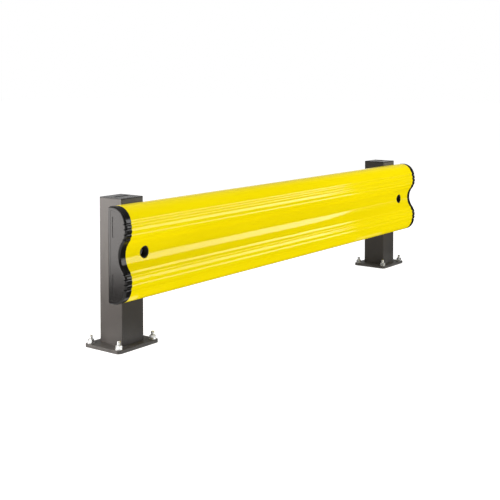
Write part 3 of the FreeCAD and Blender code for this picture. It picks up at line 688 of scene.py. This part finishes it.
def thread_tree():
    """Geometry nodes that roll a grid into a threaded rod and stand it at each anchor's place."""
    group = bpy.data.node_groups.new("threaded_rods", "GeometryNodeTree")
    sockets = {}
    for name, kind, value in SETTINGS:
        sockets[name] = group.interface.new_socket(
            name, in_out="INPUT", socket_type="NodeSocket" + kind)
    group.interface.new_socket("Geometry", in_out="OUTPUT", socket_type="NodeSocketGeometry")
    tree = Tree(group)
    given = tree.add("NodeGroupInput").outputs
    grid = tree.add("GeometryNodeMeshGrid")
    tree.put(1.0, grid.inputs["Size X"])
    tree.put(1.0, grid.inputs["Size Y"])
    tree.put(given["Around"], grid.inputs["Vertices X"])
    tree.put(given["Rows"], grid.inputs["Vertices Y"])
    place = tree.add("ShaderNodeSeparateXYZ")
    tree.link(tree.add("GeometryNodeInputPosition").outputs[0], place.inputs[0])
    around = tree.math("ADD", place.outputs["X"], 0.5)
    last = tree.math("SUBTRACT", given["Rows"], 1.0)
    row = tree.math("ROUND", tree.math("MULTIPLY", tree.math("ADD", place.outputs["Y"], 0.5), last))

    # Height of a row: the foot's rows lie on the floor, the thread's are spread over the free end.
    done = tree.math("SUBTRACT", row, FIRST)
    thread_rows = tree.math("SUBTRACT", last, FIRST + 1.0)
    share = tree.math("DIVIDE", done, thread_rows, clamp=True)
    free = tree.math("MULTIPLY", share, given["Free length"])
    standing = tree.math("GREATER_THAN", row, FIRST - 1.5)
    height = tree.math("MULTIPLY", standing, tree.math("ADD", given["Core length"], free))

    # Radius of a point: a wave with flat crests that climbs one pitch a turn, under the chamfer.
    turns = tree.math("SUBTRACT", tree.math("DIVIDE", free, given["Thread pitch"]), around)
    wave = tree.math("MULTIPLY", tree.math("PINGPONG", turns, 0.5), 2.0)
    wave = tree.math("DIVIDE", tree.math("SUBTRACT", wave, FLAT), 1 - 2 * FLAT, clamp=True)
    root = tree.math("SUBTRACT", given["Radius"], given["Thread depth"])
    thread = tree.math("MULTIPLY_ADD", wave, given["Thread depth"], root)
    chamfer_start = tree.math("SUBTRACT", given["Free length"], given["Chamfer"])
    past = tree.math("SUBTRACT", free, chamfer_start)
    taper = tree.math("SUBTRACT", given["Radius"], tree.math("MAXIMUM", past, 0.0))
    thread = tree.math("MINIMUM", thread, taper)
    threaded = tree.math("GREATER_THAN", row, FIRST - 0.5)
    spread = tree.math("MULTIPLY", threaded, tree.math("SUBTRACT", thread, given["Core radius"]))
    radius = tree.math("ADD", given["Core radius"], spread)
    after_foot = tree.math("GREATER_THAN", row, 0.5)
    before_tip = tree.math("LESS_THAN", row, tree.math("SUBTRACT", last, 0.5))
    open_row = tree.math("MULTIPLY", after_foot, before_tip)
    radius = tree.math("MULTIPLY", radius, open_row)
    angle = tree.math("MULTIPLY", around, 2 * math.pi)
    rolled = tree.add("ShaderNodeCombineXYZ")
    tree.link(tree.math("MULTIPLY", radius, tree.math("COSINE", angle)), rolled.inputs["X"])
    tree.link(tree.math("MULTIPLY", radius, tree.math("SINE", angle)), rolled.inputs["Y"])
    tree.link(height, rolled.inputs["Z"])
    roll = tree.add("GeometryNodeSetPosition")
    tree.link(grid.outputs["Mesh"], roll.inputs["Geometry"])
    tree.link(rolled.outputs[0], roll.inputs["Position"])
    weld = tree.add("GeometryNodeMergeByDistance")
    tree.link(roll.outputs["Geometry"], weld.inputs["Geometry"])
    tree.put(WELD, weld.inputs["Distance"])

    # Places: two posts, and four corners at each.
    posts = tree.add("GeometryNodeMeshLine")
    tree.put(2, posts.inputs["Count"])
    start = tree.add("ShaderNodeCombineXYZ")
    tree.link(tree.math("MULTIPLY", given["Post spacing"], -0.5), start.inputs["X"])
    tree.link(given["Middle Y"], start.inputs["Y"])
    step = tree.add("ShaderNodeCombineXYZ")
    tree.link(given["Post spacing"], step.inputs["X"])
    tree.link(start.outputs[0], posts.inputs["Start Location"])
    tree.link(step.outputs[0], posts.inputs["Offset"])
    corners = tree.add("GeometryNodeMeshGrid")
    tree.link(given["Anchor spacing X"], corners.inputs["Size X"])
    tree.link(given["Anchor spacing Y"], corners.inputs["Size Y"])
    tree.put(2, corners.inputs["Vertices X"])
    tree.put(2, corners.inputs["Vertices Y"])
    spots = tree.add("GeometryNodeInstanceOnPoints")
    tree.link(posts.outputs["Mesh"], spots.inputs["Points"])
    tree.link(corners.outputs["Mesh"], spots.inputs["Instance"])
    all_spots = tree.add("GeometryNodeRealizeInstances")
    tree.link(spots.outputs["Instances"], all_spots.inputs["Geometry"])
    chance = tree.add("FunctionNodeRandomValue", data_type="FLOAT")
    tree.put(0.0, chance.inputs[2])
    tree.put(2 * math.pi, chance.inputs[3])
    tree.link(given["Seed"], chance.inputs["Seed"])
    twist = tree.add("ShaderNodeCombineXYZ")
    tree.link(chance.outputs[1], twist.inputs["Z"])
    rods = tree.add("GeometryNodeInstanceOnPoints")
    tree.link(all_spots.outputs["Geometry"], rods.inputs["Points"])
    tree.link(weld.outputs["Geometry"], rods.inputs["Instance"])
    tree.link(twist.outputs[0], rods.inputs["Rotation"])
    real = tree.add("GeometryNodeRealizeInstances")
    tree.link(rods.outputs["Instances"], real.inputs["Geometry"])
    tree.link(real.outputs["Geometry"], tree.add("NodeGroupOutput").inputs[0])
    return group, sockets


def baked(name, group, values, material):
    """Plain mesh object made by a node group with these input values, in one finish."""
    carrier = plain_mesh("carrier", [], [])
    modifier = carrier.modifiers.new("nodes", "NODES")
    modifier.node_group = group
    for socket, value in values:
        modifier[socket.identifier] = value
    bpy.context.view_layer.update()
    graph = bpy.context.evaluated_depsgraph_get()
    seen = carrier.evaluated_get(graph)
    mesh = bpy.data.meshes.new_from_object(seen, preserve_all_data_layers=True, depsgraph=graph)
    bpy.data.objects.remove(carrier)
    mesh.name = name
    mesh.materials.clear()  # the nodes leave an empty slot
    mesh.materials.append(material)
    piece = bpy.data.objects.new(name, mesh)
    scene.collection.objects.link(piece)
    return piece


group, sockets = thread_tree()
values = [(sockets[name], value) for name, kind, value in SETTINGS]
threads = baked("anchor_threads", group, values, zinc.material)
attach(threads, "root")
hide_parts(*stud_names)
print("threads:", len(threads.data.polygons), "faces in", threads.data.materials.keys())
